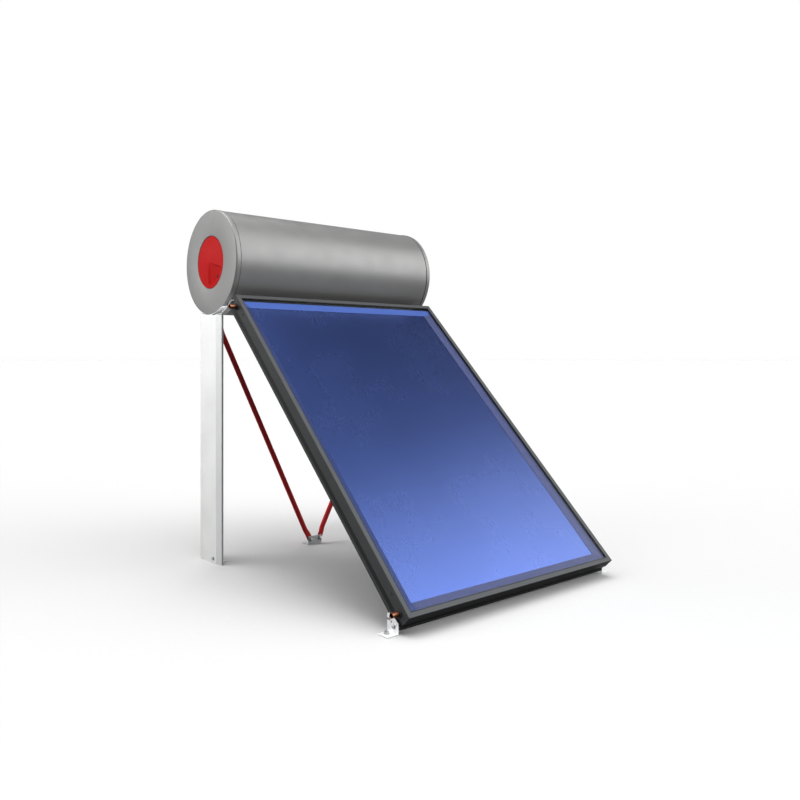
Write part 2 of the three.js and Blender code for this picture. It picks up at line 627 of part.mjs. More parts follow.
// The cradle under the tank: a curved strip with a front wing to the collector, a stiffening web
// under the strip and wing, a plate that hangs down inside the leg, and an ear for the brace.
function saddleGeometry() {
  const { width, rearAngle, frontAngle, wingY, wingDrop, footZ } = SADDLE;
  const { inset, tongue } = SADDLE_WEB;
  const radius = TANK.radius + GAP + STEEL;
  const arc = arcPoints(TANK.y, TANK.z, radius, -90 + rearAngle, -90 - frontAngle, 10);
  const wingZ = arc[arc.length - 1][1];
  const line = [...arc, [wingY, wingZ], [wingY - wingDrop, wingZ - wingDrop]];
  const strip = foldedStrip(line.reverse(), STEEL);
  const inner = -LEG.outer + STEEL + GAP;
  const cradle = alongX(strip, inner, width);
  const [tipY, tipZ] = [wingY - wingDrop + 2, wingZ - wingDrop + 1];
  const legTop = TANK.z - TANK.radius - 1;
  const underside = [[tipY, tipZ], [LEG.front - 5, legTop + 3], [LEG.fold + 8, legTop]];
  const raised = arc.map(([y, z]) => [y, z + STEEL / 2]);
  const low = legTop - STEEL;
  const web = alongX([
    [LEG.fold + 8, low], [LEG.rear - 8, low], ...raised.filter(([y]) => y < LEG.rear - 8),
    [wingY, wingZ + STEEL / 2], ...underside,
  ], inner + inset, STEEL);
  const hanger = alongX([
    [LEG.fold + 8, footZ], [LEG.rear - 30, footZ], [LEG.rear - 30, low], [TANK.y + tongue, low],
    ...raised.filter(([y]) => Math.abs(y - TANK.y) < tongue),
    [TANK.y - tongue, low], [LEG.fold + 8, low],
  ], inner, STEEL);
  const rail = alongX(foldedStrip(underside.toReversed(), STEEL), inner, width / 2);
  const earBack = BRACE.y - BRACE.radius - GAP;
  const ear = block(inner, inner + EAR.width, earBack - EAR.thick, earBack, EAR.bottom, EAR.top);
  const boltHole = rodY(BOLT.hole, BRACE.y - 30, 40, 8).translate(-BRACE.topX, 0, BRACE.topZ);
  return cut(join(cradle, web, hanger, rail, ear), boltHole);
}

// A bent plate from the saddle's wing up over the collector's top rail.
function clipGeometry() {
  const { length, depth, frontHeight } = COLLECTOR;
  const { width, reach, tip, start, bend } = CLIP;
  const place = (alongSlope, down) => [
    (alongSlope + down) * Math.cos(TILT), frontHeight + (alongSlope - down) * Math.sin(TILT)];
  const radius = TANK.radius + GAP + STEEL;
  const wingAngle = THREE.MathUtils.degToRad(SADDLE.frontAngle);
  const wingTop = TANK.z - radius * Math.cos(wingAngle) + STEEL + 2 * GAP;
  const [cornerY, cornerZ] = place(length + GAP, depth);
  const bendY = cornerY + cornerZ - wingTop + bend;
  const line = [place(length + GAP, tip), [bendY, wingTop], [SADDLE.wingY + reach, wingTop]];
  return alongX(foldedStrip(line, STEEL), -LEG.outer + start, width);
}

// A tube from bolt to bolt with both ends pressed flat and drilled.
function flattenedBrace(top, bottom) {
  const { radius, tabWidth, tabLength, tabThick } = BRACE;
  const { overlap, overrun } = TAB;
  const span = Math.hypot(top.x - bottom.x, top.z - bottom.z);
  const length = span + 2 * overrun;
  const tabStart = tabLength - overlap;
  const tab = (from) => block(
    -tabWidth / 2, tabWidth / 2, -radius, -radius + tabThick, from, from + tabLength);
  const tube = rodZ(radius, tabStart, length - 2 * tabStart);
  const holes = [overrun, overrun + span].map(
    (z) => rodY(BOLT.hole, -radius - 5, 20, 8).translate(0, 0, z));
  const brace = cut(join(tube, tab(0), tab(length - tabLength)), ...holes);
  const lean = Math.atan2(top.x - bottom.x, top.z - bottom.z);
  return brace.translate(0, 0, -overrun).rotateY(lean).translate(bottom.x, BRACE.y, bottom.z);
}

function braceFootGeometry() {
  const { x, y, width, height, flange, thick, holeSpan, holeZ, anchor } = BRACE_FOOT;
  const profile = foldedStrip([[y, height], [y, 0], [y + flange, 0]], thick);
  const angle = alongX(profile, x - width / 2, width);
  const holes = [-1, 1].map(
    (side) => rodY(BOLT.hole, y - 5, 15, 8).translate(x + side * holeSpan / 2, 0, holeZ));
  const anchorHole = rodZ(BOLT.hole, -5, 15, 8).translate(x, y + anchor, 0);
  return cut(angle, ...holes, anchorHole);
}

function frontFootGeometry() {
  const { front, rear, high, crest, low, thick, flange } = FRONT_FOOT;
  const { bolts, spare, spareRadius, anchorY, anchor } = FRONT_FOOT;
  const face = -HALF_WIDTH - GAP * 2 - thick;
  const outline = [[front, 0], [rear, 0], [rear, high], [crest, high + 3], [front, low]];
  const plate = alongX(outline, face, thick);
  const base = block(face - flange, face + thick, front, rear - 6, 0, thick);
  const drill = (radius, [y, z]) => rodX(radius, face - 5, 15, 8).translate(0, y, z);
  const holes = [...bolts.map((place) => drill(BOLT.hole, place)), drill(spareRadius, spare)];
  const anchorHole = rodZ(BOLT.hole, -5, 15, 8).translate(face - anchor, anchorY, 0);
  return cut(join(plate, base), ...holes, anchorHole);
}

function legFootGeometry() {
  const { front, rear, boltY, boltZ, height, flange, thick, anchor } = LEG_FOOT;
  const face = -LEG.outer + STEEL + GAP;
  const line = [[face, height], [face, 0], [face + flange, 0]];
  const angle = prism(shapeOf(foldedStrip(line, thick)), rear - front)
    .rotateX(Math.PI / 2).translate(0, rear, 0);
  const boltHole = rodX(BOLT.hole, face - 5, 20, 8).translate(0, boltY, boltZ);
  const anchorHole = rodZ(BOLT.hole, -5, 15, 8).translate(face + anchor, (front + rear) / 2, 0);
  return cut(angle, boltHole, anchorHole);
}

function buildStand() {
  const stand = new THREE.Group();
  const names = { [-1]: 'left', 1: 'right' };
  for (const side of [-1, 1]) {
    const name = names[side];
    addNode(stand, `rear_leg_${name}`, mirrored(legGeometry(), side), 'galvanised');
    addNode(stand, `leg_foot_${name}`, mirrored(legFootGeometry(), side), 'galvanised');
    addNode(stand, `saddle_${name}`, mirrored(saddleGeometry(), side), 'galvanised');
    addNode(stand, `collector_clip_${name}`, mirrored(clipGeometry(), side), 'galvanised');
    addNode(stand, `front_foot_${name}`, mirrored(frontFootGeometry(), side), 'galvanised');
    const anchor = addNode(stand, `anchor_bolt_${name}`, boltGeometry(FRONT_FOOT.thick - 0.5), 'steel');
    const anchorX = HALF_WIDTH + GAP * 2 + FRONT_FOOT.thick + FRONT_FOOT.anchor;
    anchor.position.set(side * anchorX, FRONT_FOOT.anchorY, FRONT_FOOT.thick + GAP);
    const bottom = { x: BRACE_FOOT.x + side * BRACE_FOOT.holeSpan / 2, z: BRACE_FOOT.holeZ };
    const top = { x: side * BRACE.topX, z: BRACE.topZ };
    addNode(stand, `brace_${name}`, flattenedBrace(top, bottom), 'redSteel');
    const bolt = addNode(stand, `brace_bolt_${name}`, boltGeometry(9), 'steel');
    bolt.rotation.x = Math.PI / 2;
    bolt.position.set(bottom.x, BRACE_FOOT.y - GAP, bottom.z);
  }
  addNode(stand, 'brace_foot', braceFootGeometry(), 'galvanised');
  return stand;
}

const group = new THREE.Group();
group.position.y = -DEPTH_Y / 2;
group.add(buildCollector(), buildTank(), buildStand());

export default group;
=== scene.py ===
"""Solar water heater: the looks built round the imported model, in metres and in its frame."""

import json
import math

import bpy
from mathutils import Matrix, Vector


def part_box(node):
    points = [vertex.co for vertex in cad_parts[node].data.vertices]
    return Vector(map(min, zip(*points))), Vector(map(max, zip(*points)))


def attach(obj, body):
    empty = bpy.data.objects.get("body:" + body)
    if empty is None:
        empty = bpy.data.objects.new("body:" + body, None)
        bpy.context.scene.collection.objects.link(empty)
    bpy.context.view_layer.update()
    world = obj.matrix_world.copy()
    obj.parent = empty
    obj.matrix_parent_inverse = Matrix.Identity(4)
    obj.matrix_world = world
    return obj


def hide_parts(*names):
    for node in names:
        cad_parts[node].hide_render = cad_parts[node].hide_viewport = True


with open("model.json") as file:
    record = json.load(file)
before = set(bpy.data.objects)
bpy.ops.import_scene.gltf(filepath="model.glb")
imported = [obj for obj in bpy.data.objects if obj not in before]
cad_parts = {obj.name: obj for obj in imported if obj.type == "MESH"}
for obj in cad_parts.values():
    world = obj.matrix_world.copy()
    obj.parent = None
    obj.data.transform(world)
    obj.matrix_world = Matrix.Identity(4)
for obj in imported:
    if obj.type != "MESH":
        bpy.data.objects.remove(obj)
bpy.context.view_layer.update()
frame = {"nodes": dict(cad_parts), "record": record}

scene = bpy.context.scene
scene.view_settings.view_transform = "Standard"
MM = 0.001
TAU = 2 * math.pi


# ---- where things are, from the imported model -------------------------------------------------
def centre_of(node):
    low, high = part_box(node)
    return (low + high) / 2


CAP_LOW, CAP_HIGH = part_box("end_cap_left")
TANK_RADIUS = (CAP_HIGH.z - CAP_LOW.z) / 2
TANK_AXIS = (CAP_LOW + CAP_HIGH) / 2
TANK_LEFT = CAP_LOW.x
TANK_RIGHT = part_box("end_cap_right")[1].x
TANK_LENGTH = TANK_RIGHT - TANK_LEFT
RIM_WIDTH = CAP_HIGH.x - CAP_LOW.x

COLLECTOR_DEPTH = 87 * MM
BOTTOM_LOW, BOTTOM_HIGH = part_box("frame_bottom")
SLOPE = math.radians(45)
COLLECTOR_ORIGIN = Vector((BOTTOM_LOW.x, BOTTOM_LOW.y, BOTTOM_LOW.z + COLLECTOR_DEPTH * math.sin(SLOPE)))
COLLECTOR = Matrix.Translation(COLLECTOR_ORIGIN) @ Matrix.Rotation(SLOPE, 4, "X")
COLLECTOR_WIDTH = BOTTOM_HIGH.x - BOTTOM_LOW.x
COLLECTOR_LENGTH = 1740 * MM
COLLECTOR_START = Matrix.Rotation(-SLOPE, 4, "X") @ COLLECTOR_ORIGIN

# Stretches and turns of the grain in drawn metal.
ALONG_X = (1.5, 700, 700)
UP_SLOPE = (700, 1.5, 700)
TILTED = (-SLOPE, 0, 0)


# ---- material nodes ----------------------------------------------------------------------------
class Nodes:
    """A small builder for one material's node tree."""

    def __init__(self, name):
        self.material = bpy.data.materials.new(name)
        self.material.use_nodes = True
        self.tree = self.material.node_tree
        self.tree.nodes.clear()
        self.output = self.add("ShaderNodeOutputMaterial")

    def add(self, kind, **settings):
        node = self.tree.nodes.new(kind)
        for key, value in settings.items():
            setattr(node, key, value)
        return node

    def link(self, source, target):
        self.tree.links.new(source, target)

    def coordinates(self, scale=(1, 1, 1), turn=(0, 0, 0)):
        """Object coordinates, which are the row frame's, turned and then scaled."""
        source = self.add("ShaderNodeTexCoord").outputs["Object"]
        turned = self.add("ShaderNodeMapping", vector_type="POINT")
        turned.inputs["Rotation"].default_value = turn
        stretched = self.add("ShaderNodeMapping", vector_type="POINT")
        stretched.inputs["Scale"].default_value = scale
        self.link(source, turned.inputs["Vector"])
        self.link(turned.outputs["Vector"], stretched.inputs["Vector"])
        return stretched.outputs["Vector"]

    def noise(self, vector, scale, detail=3.0, roughness=0.55):
        node = self.add("ShaderNodeTexNoise")
        node.inputs["Scale"].default_value = scale
        node.inputs["Detail"].default_value = detail
        node.inputs["Roughness"].default_value = roughness
        self.link(vector, node.inputs["Vector"])
        return node.outputs["Fac"]

    def cells(self, vector, scale):
        node = self.add("ShaderNodeTexVoronoi")
        node.inputs["Scale"].default_value = scale
        self.link(vector, node.inputs["Vector"])
        separate = self.add("ShaderNodeSeparateColor")
        self.link(node.outputs["Color"], separate.inputs["Color"])
        return separate.outputs["Red"]

    def spread(self, value, low, high, from_low=0.3, from_high=0.7):
        node = self.add("ShaderNodeMapRange", clamp=True)
        node.inputs["From Min"].default_value = from_low
        node.inputs["From Max"].default_value = from_high
        node.inputs["To Min"].default_value = low
        node.inputs["To Max"].default_value = high
        self.link(value, node.inputs["Value"])
        return node.outputs["Result"]

    def colours(self, value, stops):
        node = self.add("ShaderNodeValToRGB")
        ramp = node.color_ramp
        while len(ramp.elements) < len(stops):
            ramp.elements.new(0.5)
        for element, (position, colour) in zip(ramp.elements, stops):
            element.position = position
            element.color = (*colour, 1)
        self.link(value, node.inputs["Fac"])
        return node.outputs["Color"]

    def blend(self, factor, first, second, mode="MIX"):
        node = self.add("ShaderNodeMix", data_type="RGBA", blend_type=mode)
        sockets = (node.inputs["Factor"], node.inputs[6], node.inputs[7])
        for socket, value in zip(sockets, (factor, first, second)):
            if isinstance(value, bpy.types.NodeSocket):
                self.link(value, socket)
            else:
                socket.default_value = value if isinstance(value, (int, float)) else (*value, 1)
        return node.outputs[2]

    def math(self, operation, first, second=0.0):
        node = self.add("ShaderNodeMath", operation=operation)
        for socket, value in zip(node.inputs, (first, second)):
            if isinstance(value, bpy.types.NodeSocket):
                self.link(value, socket)
            else:
                socket.default_value = value
        return node.outputs["Value"]

    def along(self, vector, axis, low, high):
        """0 to 1 as one coordinate of a vector runs from low to high, in metres."""
        split = self.add("ShaderNodeSeparateXYZ")
        self.link(vector, split.inputs["Vector"])
        return self.spread(split.outputs[axis], 0, 1, low, high)

    def bump(self, height, strength, distance):
        node = self.add("ShaderNodeBump")
        node.inputs["Strength"].default_value = strength
        node.inputs["Distance"].default_value = distance
        self.link(height, node.inputs["Height"])
        return node.outputs["Normal"]

    def surface(self, colour, roughness, normal=None, **values):
        shader = self.add("ShaderNodeBsdfPrincipled")
        for socket, value in (("Base Color", colour), ("Roughness", roughness), ("Normal", normal)):
            if isinstance(value, bpy.types.NodeSocket):
                self.link(value, shader.inputs[socket])
            elif value is not None:
                shader.inputs[socket].default_value = value if socket != "Base Color" else (*value, 1)
        for key, value in values.items():
            shader.inputs[key.replace("_", " ")].default_value = value
        self.link(shader.outputs["BSDF"], self.output.inputs["Surface"])
        return shader


def tinted(colour, amount):
    return tuple(min(1.0, channel * amount) for channel in colour)


def coated(name, colour, vary=0.08, roughness=(0.35, 0.5), grain=900, bump=0.12, **values):
    """Paint, powder coat or moulded plastic: cloudy colour, uneven gloss and an orange-peel surface."""
    n = Nodes(name)
    place = n.coordinates()
    cloud = n.noise(place, 3.2, 5)
    fine = n.noise(place, grain, 2)
    base = n.colours(cloud, [(0.3, tinted(colour, 1 - vary)), (0.7, tinted(colour, 1 + vary))])
    gloss = n.spread(n.noise(place, 14, 4), *roughness)
    n.surface(base, gloss, n.bump(fine, bump, 0.0004), **values)
    return n.material


def worked_metal(name, colour, stretch, vary=0.12, roughness=(0.3, 0.45), bump=0.1, **values):
    """Drawn, rolled or brushed metal with its lines along the axis that stretch squeezes."""
    n = Nodes(name)
    lines = n.noise(n.coordinates(stretch), 1.0, 4, 0.7)
    cloud = n.noise(n.coordinates(), 9, 4)
    mixed = n.math("ADD", n.math("MULTIPLY", lines, 0.55), n.math("MULTIPLY", cloud, 0.45))
    base = n.colours(mixed, [(0.35, tinted(colour, 1 - vary)), (0.65, tinted(colour, 1 + vary))])
    n.surface(base, n.spread(mixed, *roughness), n.bump(lines, bump, 0.0002), **values)
    return n.material


def galvanised(name, colour, metallic=0.35, fold=None):
    """Hot-dip zinc: pale spangle cells, streaks and patches, a little darker towards the bottom, and painted
    shade on the strip in front of a fold.
    """
    n = Nodes(name)
    place = n.coordinates()
    spangle = n.cells(place, 130)
    patches = n.noise(place, 6, 5)
    streaks = n.noise(n.coordinates((40, 40, 2.5)), 1.0, 3)
    mixed = n.math("ADD", n.math("MULTIPLY", spangle, 0.35), n.math("MULTIPLY", patches, 0.4))
    mixed = n.math("ADD", mixed, n.math("MULTIPLY", streaks, 0.25))
    zinc = n.colours(mixed, [(0.25, tinted(colour, 0.95)), (0.75, tinted(colour, 1.03))])
    # A little darker towards the bottom: the colour is multiplied by 0.93 near the floor and by 1 higher up,
    # unevenly with the patches.
    height_share = n.along(place, "Z", -0.1, 1.15)
    uneven = n.math("ADD", height_share, n.spread(patches, -0.08, 0.08))
    low_down_tone = n.colours(uneven, [(0.0, (0.93, 0.93, 0.925)), (1.0, (1, 1, 1))])
    gloss = n.spread(mixed, 0.36, 0.58)
    base = n.blend(1.0, zinc, low_down_tone, "MULTIPLY")
    # Painted shade: in front of the fold the zinc is blended to a darker grey, standing for the shade on that
    # face.
    if fold is not None:
        base = n.blend(n.along(place, "Y", fold + 1 * MM, fold - 1 * MM), base, (0.74, 0.745, 0.75))
        base = n.blend(1.0, base, low_down_tone, "MULTIPLY")
    n.surface(base, gloss, n.bump(spangle, 0.04, 0.0002), Metallic=metallic)
    return n.material


def absorber_paint():
    """Blue selective coating, slightly cloudy and with faint streaks up the slope."""
    n = Nodes("absorber_coating")
    streaks = n.noise(n.coordinates((60, 1.2, 1), TILTED), 1.0, 4)
    cloud = n.noise(n.coordinates(), 2.2, 4)
    mixed = n.math("ADD", n.math("MULTIPLY", streaks, 0.15), n.math("MULTIPLY", cloud, 0.85))
    base = n.colours(mixed, [(0.3, (0.119, 0.184, 0.550)), (0.7, (0.128, 0.198, 0.580))])
    fine = n.noise(n.coordinates((900, 60, 900), TILTED), 1.0, 2)
    n.surface(base, n.spread(mixed, 0.265, 0.28), n.bump(fine, 0.0005, 0.0002), Metallic=1.0)
    return n.material


def pane_glass():
    """Low-iron glass with a coating that hardly reflects: a thin pane that doesn't bend what is behind it."""
    n = Nodes("solar_glass")
    place = n.coordinates()
    clear = n.add("ShaderNodeBsdfTransparent")
    tint = n.colours(n.noise(place, 5, 3), [(0.3, (0.968, 0.984, 0.988)), (0.7, (0.974, 0.988, 0.992))])
    n.link(tint, clear.inputs["Color"])
    sheen = n.add("ShaderNodeBsdfGlossy")
    n.link(n.spread(n.noise(place, 30, 3), 0.02, 0.05), sheen.inputs["Roughness"])
    n.link(n.bump(n.noise(place, 7, 2), 0.002, 0.001), sheen.inputs["Normal"])
    slant = n.add("ShaderNodeLayerWeight")
    slant.inputs["Blend"].default_value = 0.5
    glance = n.math("POWER", slant.outputs["Facing"], 5)
    share = n.math("ADD", n.math("MULTIPLY", glance, 0.99), 0.008)
    mix = n.add("ShaderNodeMixShader")
    n.link(share, mix.inputs["Fac"])
    n.link(clear.outputs["BSDF"], mix.inputs[1])
    n.link(sheen.outputs["BSDF"], mix.inputs[2])
    n.link(mix.outputs["Shader"], n.output.inputs["Surface"])
    return n.material


def anodised(name, stretch, wall_shade_factor=1.0):
    """Dark anodised extrusion: drawing lines, a paler front rim, and painted shade in the groove and at the
    heel.
    """
    n = Nodes(name)
    turned = n.coordinates((1, 1, 1), TILTED)
    lines = n.noise(n.coordinates(stretch, TILTED), 1.0, 4, 0.7)
    cloud = n.noise(n.coordinates(), 7, 4)
    mixed = n.math("ADD", n.math("MULTIPLY", lines, 0.5), n.math("MULTIPLY", cloud, 0.5))
    # Painted shade: a factor below one here makes the walls a darker copy, for a rail whose walls sit in
    # shade.
    wall = n.colours(mixed, [(0.35, tinted((0.038, 0.040, 0.041), wall_shade_factor)),
                             (0.65, tinted((0.048, 0.050, 0.051), wall_shade_factor))])
    rim = n.colours(mixed, [(0.35, (0.072, 0.076, 0.080)), (0.65, (0.087, 0.091, 0.096))])

    def past_depth(depth, fade):
        """0 to 1 as the depth behind the collector's face passes a depth, in millimetres."""
        face = COLLECTOR_START.z
        return n.along(turned, "Z", face - (depth - fade) * MM, face - (depth + fade) * MM)

    base = n.blend(past_depth(3, 0.4), rim, wall)
    # Painted shade: the groove and the heel at the back are blended towards near-black, standing for the
    # shade that falls there.
    groove = n.math("SUBTRACT", past_depth(51, 2), past_depth(74, 2))
    heel = past_depth(83, 2)
    groove_and_heel_shade = n.math("MAXIMUM", n.math("MULTIPLY", groove, 0.76), n.math("MULTIPLY", heel, 0.92))
    base = n.blend(groove_and_heel_shade, base, (0.004, 0.004, 0.004))
    n.surface(base, n.spread(mixed, 0.44, 0.56), n.bump(lines, 0.06, 0.0002), Metallic=0.15,
              Specular_IOR_Level=0.18)
    return n.material


def edge_foil():
    """Foil on the sloped edges: a painted reflection of the blue absorber at the top under a painted shadow
    strip, a deeper painted reflection of it on the left, else plain.
    """
    n = Nodes("edge_foil")
    turned = n.coordinates((1, 1, 1), TILTED)
    cloud = n.noise(n.coordinates(), 12, 5)
    fine = n.noise(n.coordinates((90, 90, 90)), 1.0, 4, 0.7)
    mixed = n.math("ADD", n.math("MULTIPLY", cloud, 0.5), n.math("MULTIPLY", fine, 0.5))
    plain = n.colours(mixed, [(0.35, (0.066, 0.077, 0.180)), (0.65, (0.076, 0.088, 0.206))])
    # Painted reflection: the top foil gets the absorber's blue, as if mirrored in it.
    top_reflection_blue = n.colours(mixed, [(0.35, (0.072, 0.130, 0.415)), (0.65, (0.083, 0.149, 0.470))])
    # Painted reflection: the left foil gets a deep blue, the absorber as if mirrored in it.
    left_reflection_blue = n.colours(mixed, [(0.35, (0.037, 0.055, 0.169)), (0.65, (0.042, 0.063, 0.188))])
    left, end = COLLECTOR_START.x, COLLECTOR_START.y + COLLECTOR_LENGTH
    base = n.blend(n.along(turned, "X", left + 70 * MM, left + 64 * MM), plain, left_reflection_blue)
    base = n.blend(n.along(turned, "Y", end - 68 * MM, end - 62 * MM), base, top_reflection_blue)
    # Painted shadow: a near-black strip along the top end of the foil.
    base = n.blend(n.along(turned, "Y", end - 32 * MM, end - 30 * MM), base, (0.008, 0.008, 0.009))
    n.surface(base, n.spread(mixed, 0.58, 0.70), n.bump(fine, 0.10, 0.0003), Metallic=0.7)
    return n.material


def fibrous(name, dark, light, scale, roughness=0.95, bump=0.6):
    """Foam or mineral wool: a lumpy, matt mass."""
    n = Nodes(name)
    place = n.coordinates()
    lumps = n.noise(place, scale, 6, 0.7)
    n.surface(n.colours(lumps, [(0.3, dark), (0.7, light)]), n.spread(lumps, roughness - 0.08, roughness),
              n.bump(lumps, bump, 0.002))
    return n.material


def pressed_sheet(name, colour):
    """Embossed aluminium sheet."""
    n = Nodes(name)
    stucco = n.noise(n.coordinates(), 160, 2, 0.4)
    cloud = n.noise(n.coordinates(), 5, 4)
    base = n.colours(cloud, [(0.3, tinted(colour, 0.92)), (0.7, tinted(colour, 1.06))])
    n.surface(base, n.spread(stucco, 0.35, 0.5), n.bump(stucco, 0.5, 0.001), Metallic=0.85)
    return n.material


LOOKS = {
    "tank_paint": coated("tank_paint", (0.2385, 0.2385, 0.2365), 0.04, (0.34, 0.42), 1100, 0.10,
                         Metallic=0.4),
    "red_plastic": coated("red_plastic", (0.555, 0.0040, 0.0046), 0.05, (0.38, 0.50), 700, 0.08,
                          Specular_IOR_Level=0.05),
    "black_plastic": coated("black_plastic", (0.022, 0.022, 0.023), 0.1, (0.45, 0.6), 1400, 0.2),
    "white_plastic": coated("white_plastic", (0.74, 0.73, 0.68), 0.03, (0.4, 0.5), 1200, 0.1),
    "foam": fibrous("foam", (0.55, 0.44, 0.18), (0.78, 0.66, 0.32), 260),
    "enamel": coated("enamel", (0.035, 0.055, 0.095), 0.12, (0.12, 0.25), 300, 0.15),
    "plain_steel": worked_metal("plain_steel", (0.46, 0.47, 0.48), (260, 260, 260), Metallic=0.9),
    "magnesium": worked_metal("magnesium", (0.42, 0.43, 0.44), ALONG_X, 0.2, (0.5, 0.7), Metallic=0.7),
    "brass": worked_metal("brass", (0.66, 0.45, 0.17), (60, 600, 600), roughness=(0.22, 0.38), Metallic=1.0),
    "copper": worked_metal("copper", (0.30, 0.125, 0.070), (4, 500, 500), 0.18, (0.26, 0.40), Metallic=1.0),
    "galvanised": galvanised("galvanised", (0.96, 0.97, 0.98), 0.40),
    "red_steel": coated("red_steel", (0.56, 0.034, 0.038), 0.07, (0.40, 0.52), 800, 0.12,
                        Specular_IOR_Level=0.06),
    "frame_black": anodised("frame_anodised", UP_SLOPE),
    "rubber": coated("rubber", (0.012, 0.012, 0.012), 0.15, (0.7, 0.9), 900, 0.25),
    "glass": pane_glass(),
    "absorber_blue": absorber_paint(),
    "edge_foil": edge_foil(),
    "wool": fibrous("wool", (0.42, 0.36, 0.15), (0.66, 0.58, 0.29), 420),
    "back_sheet": pressed_sheet("back_sheet", (0.52, 0.53, 0.54)),
}
LOOKS["frame_top"] = anodised("frame_anodised_top", ALONG_X)
# Painted shade: the bottom rail's walls are darkened to 0.62, standing for the shade on its downward faces.
LOOKS["frame_bottom"] = anodised("frame_anodised_bottom_painted_shade", ALONG_X, 0.62)
# Painted shade: leg_zinc darkens the strip in front of the leg's fold.
LEG_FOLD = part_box("rear_leg_left")[0].y + 43 * MM
LOOKS["leg_zinc"] = galvanised("leg_zinc", (1.0, 1.0, 1.0), 0.38, LEG_FOLD)
# Painted shade: the brace foot's zinc is a darker copy, standing for the shade it sits in under the
# collector.
LOOKS["foot_zinc_painted_shade"] = galvanised("foot_zinc_painted_shade", (0.56, 0.56, 0.58), 0.40)


# ---- mesh helpers --------------------------------------------------------------------------------
def shade(mesh, angle=35):
    mesh.shade_smooth()
    mesh.set_sharp_from_angle(angle=math.radians(angle))


def piece(name, vertices, faces, slot, body="root", replaces=(), look=None, angle=35, place=None):
    """A mesh in the row frame that rides on a body, takes a slot's look and may stand for CAD nodes."""
    mesh = bpy.data.meshes.new(name)
    mesh.from_pydata([tuple(v) for v in vertices], [], faces)
    if place is not None:
        mesh.transform(place)
    mesh.validate()
    mesh.update()
    mesh.materials.append(LOOKS[look or slot])
    shade(mesh, angle)
    obj = bpy.data.objects.new(name, mesh)
    scene.collection.objects.link(obj)
    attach(obj, body)
    if replaces:
        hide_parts(*replaces)
    return obj


def bevelled(obj, width, segments=2, angle=30):
    """Soft edges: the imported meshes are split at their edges, so they are welded first."""
    weld = obj.modifiers.new("weld", "WELD")
    weld.merge_threshold = 0.00002
    bevel = obj.modifiers.new("bevel", "BEVEL")
    bevel.width = width
    bevel.segments = segments
    bevel.limit_method = "ANGLE"
    bevel.angle_limit = math.radians(angle)
    bevel.harden_normals = True
    return obj


def merge(*parts):
    """Several (vertices, faces) lists as one."""
    vertices, faces = [], []
    for part_vertices, part_faces in parts:
        start = len(vertices)
        vertices.extend(part_vertices)
        faces.extend([tuple(i + start for i in face) for face in part_faces])
    return vertices, faces


def moved(part, matrix):
    vertices, faces = part
    return [matrix @ Vector(v) for v in vertices], faces


def lathe(profile, sides):
    """A body of revolution about +X from a closed or axis-to-axis list of (radius, x)."""
    vertices, rings = [], []
    for radius, x in profile:
        if radius < 1e-7:
            rings.append([len(vertices)])
            vertices.append((x, 0, 0))
            continue
        rings.append(list(range(len(vertices), len(vertices) + sides)))
        for i in range(sides):
            turn = TAU * i / sides
            vertices.append((x, radius * math.cos(turn), radius * math.sin(turn)))
    faces = []
    for ring, after in zip(rings, rings[1:] + rings[:1]):
        if len(ring) == 1 and len(after) == 1:
            continue
        for i in range(sides):
            j = (i + 1) % sides
            if len(ring) == 1:
                faces.append((ring[0], after[i], after[j]))
            elif len(after) == 1:
                faces.append((ring[i], after[0], ring[j]))
            else:
                faces.append((ring[i], after[i], after[j], ring[j]))
    if profile_area(profile) > 0:
        faces = [tuple(reversed(face)) for face in faces]
    return vertices, faces


def profile_area(profile):
    total = 0.0
    for (r0, x0), (r1, x1) in zip(profile, profile[1:] + profile[:1]):
        total += r0 * x1 - r1 * x0
    return total


def arc(centre, radius, start, end, steps):
    points = []
    for i in range(steps + 1):
        turn = math.radians(start + (end - start) * i / steps)
        points.append((centre[0] + radius * math.cos(turn), centre[1] + radius * math.sin(turn)))
    return points


def loft(rings):
    """Skins a row of equal rings of points, with a cap on each end."""
    count = len(rings[0])
    vertices = [point for ring in rings for point in ring]
    faces = []
    for k in range(len(rings) - 1):
        for i in range(count):
            j = (i + 1) % count
            faces.append((k * count + i, k * count + j, (k + 1) * count + j, (k + 1) * count + i))
    last = (len(rings) - 1) * count
    faces.append(tuple(reversed(range(count))))
    faces.append(tuple(range(last, last + count)))
    return vertices, faces


def rod(radius, start, end, sides):
    """A round bar along +X with square ends."""
    return lathe([(0, start), (radius, start), (radius, end), (0, end)], sides)


def hex_head(across, height):
    """A six-sided head along +X with the usual rounded corners on its face."""
    flat, steps = across / 2, 24
    seat, shoulder, top = [], [], []
    for i in range(steps):
        turn = TAU * i / steps
        c, k = math.cos(turn), math.sin(turn)
        reach = flat / math.cos((turn + math.pi / 6) % (math.pi / 3) - math.pi / 6)
        seat.append((0, reach * c, reach * k))
        shoulder.append((height - 0.62 * (reach - flat) - 0.3 * MM, reach * c, reach * k))
        top.append((height, flat * 0.93 * c, flat * 0.93 * k))
    return loft([seat, shoulder, top])


def washer(outer, inner, thickness):
    edge = min(0.4 * MM, thickness / 4)
    return lathe([(inner, 0), (inner, thickness), (outer - edge, thickness), (outer, thickness - edge),
                  (outer, edge), (outer - edge, 0)], 40)


